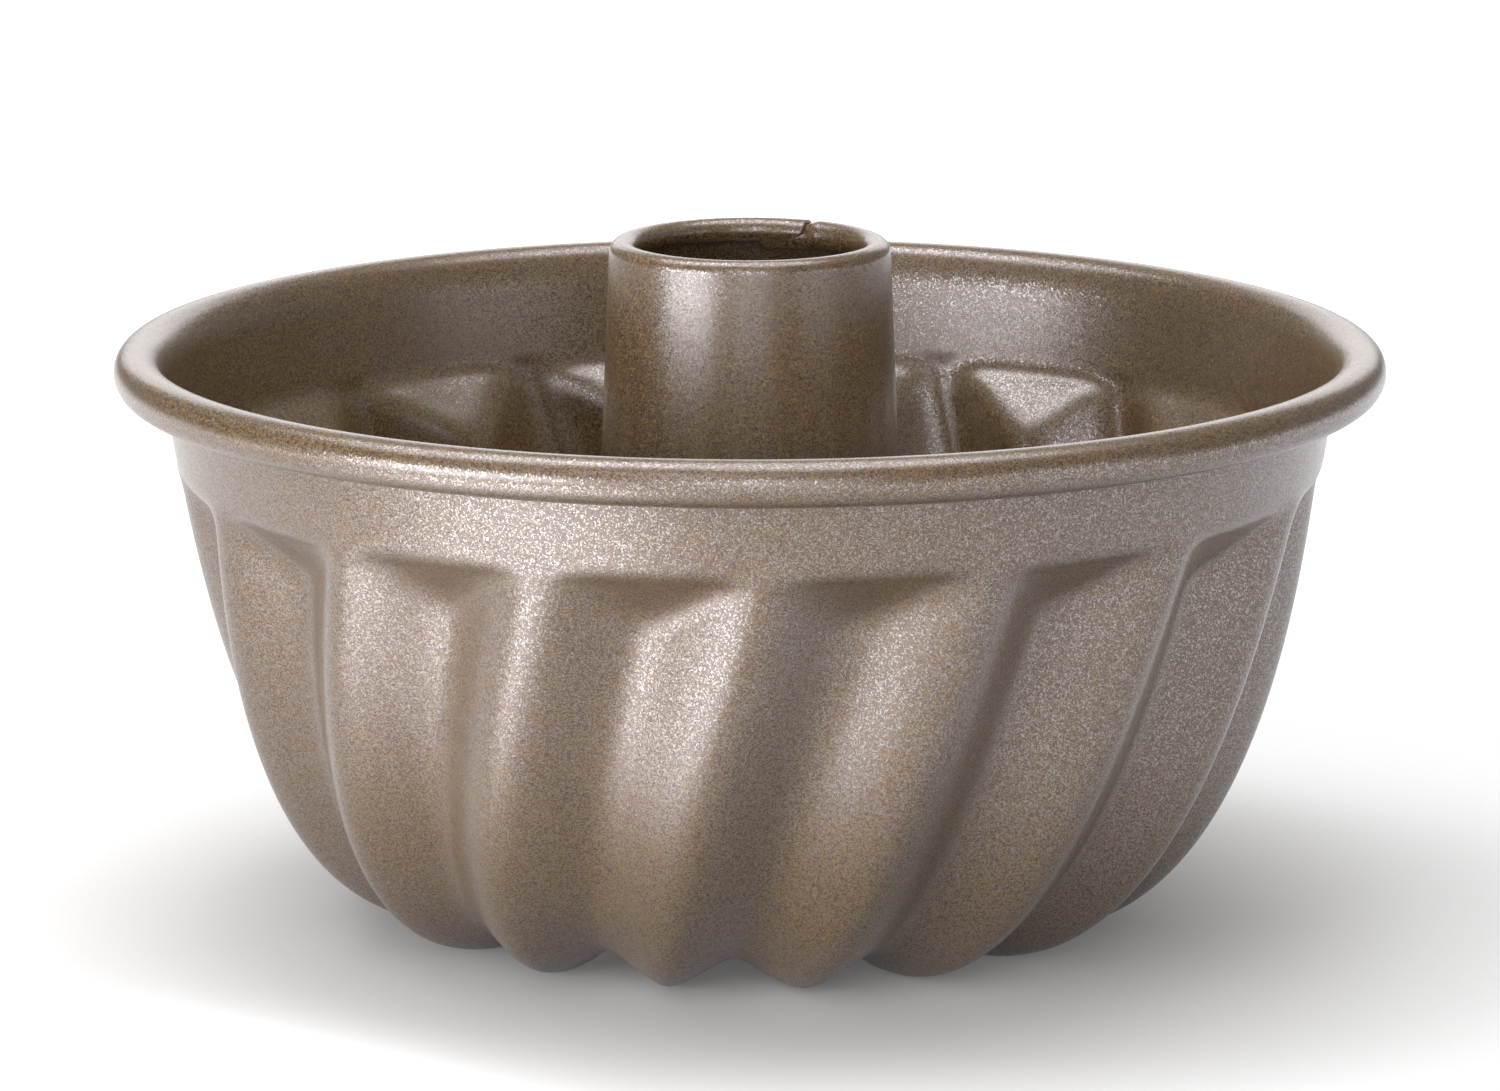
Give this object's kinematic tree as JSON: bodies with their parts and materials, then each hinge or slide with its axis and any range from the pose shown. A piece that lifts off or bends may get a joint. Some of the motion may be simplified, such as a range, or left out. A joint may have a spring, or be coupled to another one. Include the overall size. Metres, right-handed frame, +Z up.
{
  "type": "fluted tube pan",
  "caption": "Round tube pan for baking ring cakes: a steel bowl with swirled flutes, a plain band and a curled rim, round a slightly conical centre tube with a rolled top.",
  "frame": {"origin": "on the resting plane, on the axis of the centre tube", "axes": "+Z up along the tube, -Y towards the front of the picture, +X to the right of the picture"},
  "size_m": [0.2198, 0.2198, 0.1195],
  "materials": {
    "bowl_coating": "satin bronze-brown non-stick coating with fine metallic flake, on steel sheet",
    "tube_coating": "satin bronze-brown non-stick coating with fine metallic flake, on steel sheet"
  },
  "bodies": {
    "root": {"fluted_bowl": "bowl_coating", "center_tube": "tube_coating"}
  },
  "joints": []
}
